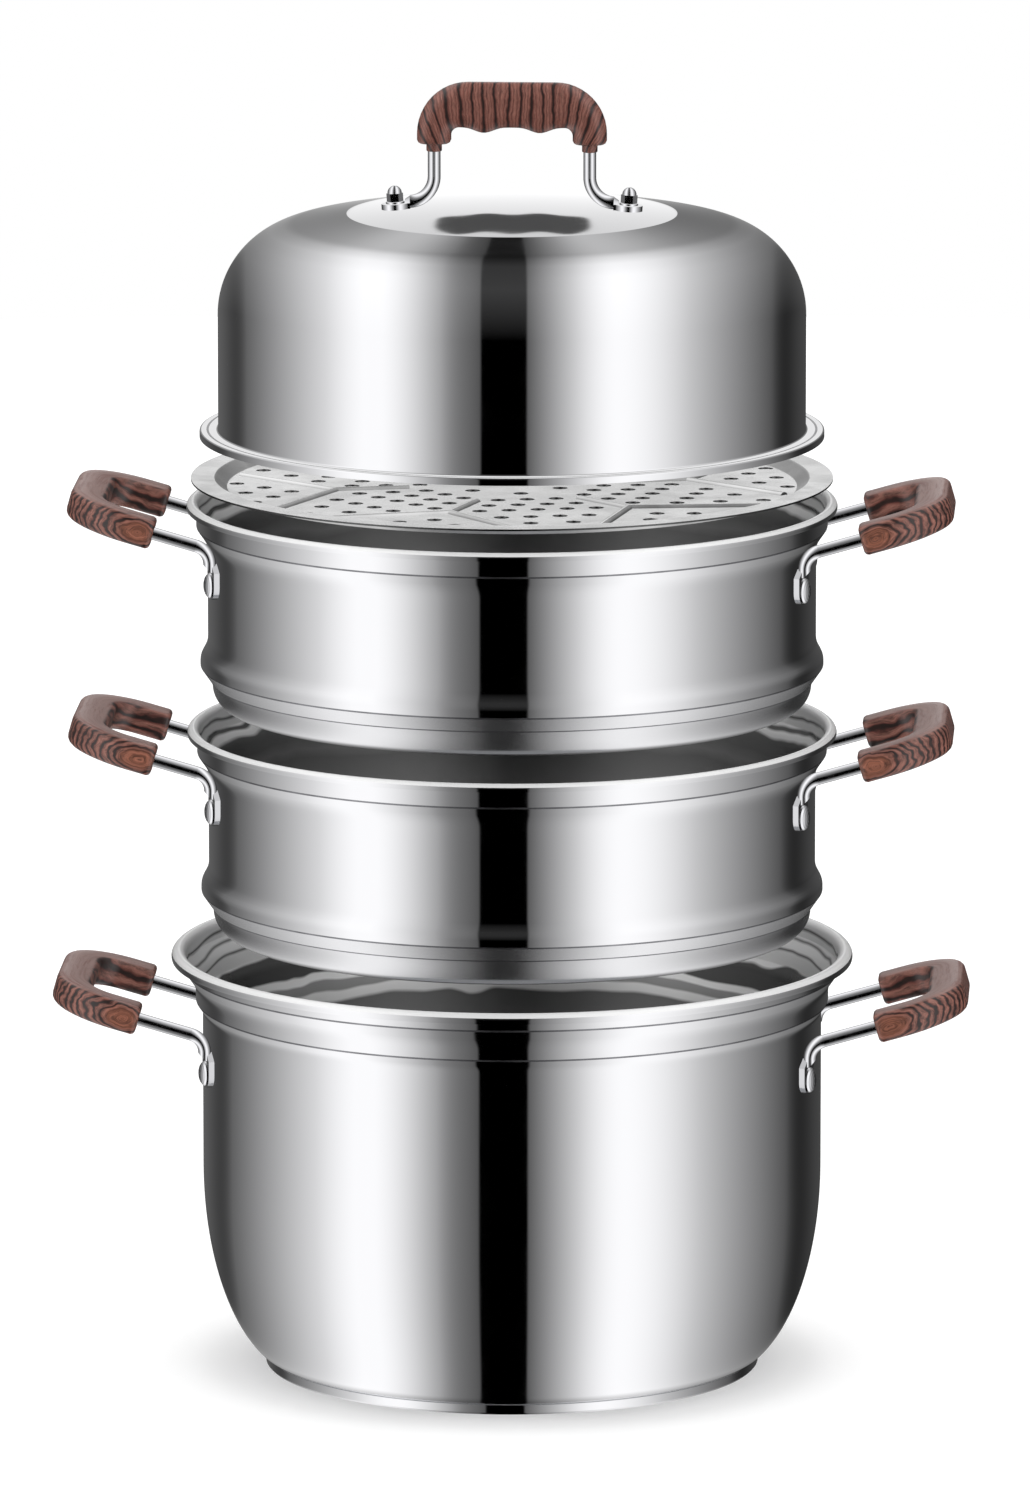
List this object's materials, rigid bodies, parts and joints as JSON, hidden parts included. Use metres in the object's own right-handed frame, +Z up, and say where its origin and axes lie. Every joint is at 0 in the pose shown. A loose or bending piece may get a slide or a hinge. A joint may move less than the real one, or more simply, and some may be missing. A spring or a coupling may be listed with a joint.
{
  "type": "stacking steamer pot",
  "caption": "Round steel steamer pot with loop side handles, stacked bottomless steaming rings, perforated plates and a domed lid, shown apart.",
  "frame": {"origin": "centre of the pot's underside, on the table", "axes": "+Z up through the centre of the stack, the side handles along X, the side seen in the picture towards -Y"},
  "size_m": [0.3956, 0.295, 0.5603],
  "materials": {
    "polished_steel": "mirror-polished stainless steel",
    "satin_steel": "satin stainless steel, pressed",
    "bright_steel": "polished stainless steel rod and fasteners",
    "base_steel": "brushed stainless steel cap",
    "base_aluminium": "plain aluminium disc",
    "grip_plastic": "moulded heat-resistant plastic with a rosewood-look grain, satin gloss"
  },
  "bodies": {
    "pot": {"pot_shell": "polished_steel", "base_core": "base_aluminium", "base_cap": "base_steel", "pot_left_rod": "bright_steel", "pot_left_grip": "grip_plastic", "pot_left_rivets": "bright_steel", "pot_right_rod": "bright_steel", "pot_right_grip": "grip_plastic", "pot_right_rivets": "bright_steel"},
    "lower_plate": {"lower_plate": "satin_steel"},
    "lower_tier": {"lower_tier_shell": "polished_steel", "lower_tier_left_rod": "bright_steel", "lower_tier_left_grip": "grip_plastic", "lower_tier_left_rivets": "bright_steel", "lower_tier_right_rod": "bright_steel", "lower_tier_right_grip": "grip_plastic", "lower_tier_right_rivets": "bright_steel"},
    "upper_tier": {"upper_tier_shell": "polished_steel", "upper_tier_left_rod": "bright_steel", "upper_tier_left_grip": "grip_plastic", "upper_tier_left_rivets": "bright_steel", "upper_tier_right_rod": "bright_steel", "upper_tier_right_grip": "grip_plastic", "upper_tier_right_rivets": "bright_steel"},
    "upper_plate": {"upper_plate": "satin_steel"},
    "lid": {"lid_shell": "polished_steel", "lid_rod": "bright_steel", "lid_grip": "grip_plastic", "lid_bolts": "bright_steel", "lid_washers": "bright_steel", "lid_cap_nuts": "bright_steel"}
  },
  "joints": [
    {"name": "lower_plate_lift", "type": "slide", "parent": "pot", "child": "lower_plate", "axis": [0, 0, 1], "range_m": [0, 0.06]},
    {"name": "lower_tier_lift", "type": "slide", "parent": "pot", "child": "lower_tier", "axis": [0, 0, 1], "range_m": [-0.0503, 0.06]},
    {"name": "upper_tier_lift", "type": "slide", "parent": "lower_tier", "child": "upper_tier", "axis": [0, 0, 1], "range_m": [-0.0389, 0.06]},
    {"name": "upper_plate_lift", "type": "slide", "parent": "upper_tier", "child": "upper_plate", "axis": [0, 0, 1], "range_m": [-0.0091, 0.06]},
    {"name": "lid_lift", "type": "slide", "parent": "upper_plate", "child": "lid", "axis": [0, 0, 1], "range_m": [-0.0176, 0.06]}
  ]
}
